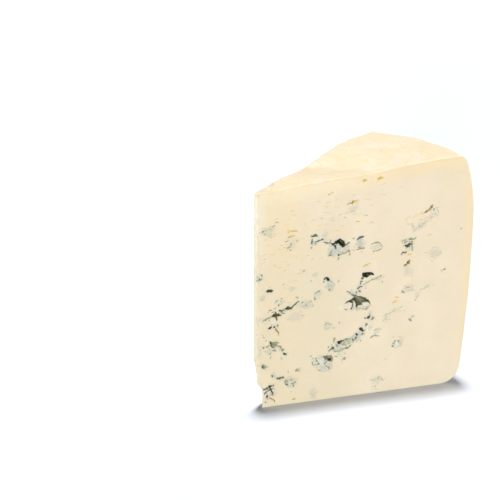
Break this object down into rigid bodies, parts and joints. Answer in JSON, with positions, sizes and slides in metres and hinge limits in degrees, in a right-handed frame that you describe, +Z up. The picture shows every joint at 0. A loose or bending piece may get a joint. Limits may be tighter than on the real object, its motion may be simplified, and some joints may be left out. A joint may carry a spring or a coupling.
{
  "type": "blue cheese wedge",
  "caption": "Wedge of rindless blue cheese standing on its foot, with flat cut faces full of mould-lined openings, a rounded rim and a gently rising top",
  "frame": {"origin": "on the ground under the middle of the wedge's box", "axes": "+Z up; the first cut face looks towards -Y, with the tip at -X and the rim at +X; the second cut face looks towards +Y and -X"},
  "size_m": [0.098, 0.06, 0.1022],
  "materials": {
    "cheese": "moist ivory cheese paste with a soft sheen, a little yellower towards the rim and top, marbled with blue-green mould in its openings"
  },
  "bodies": {
    "root": {"cheese_wedge": "cheese"}
  },
  "joints": []
}
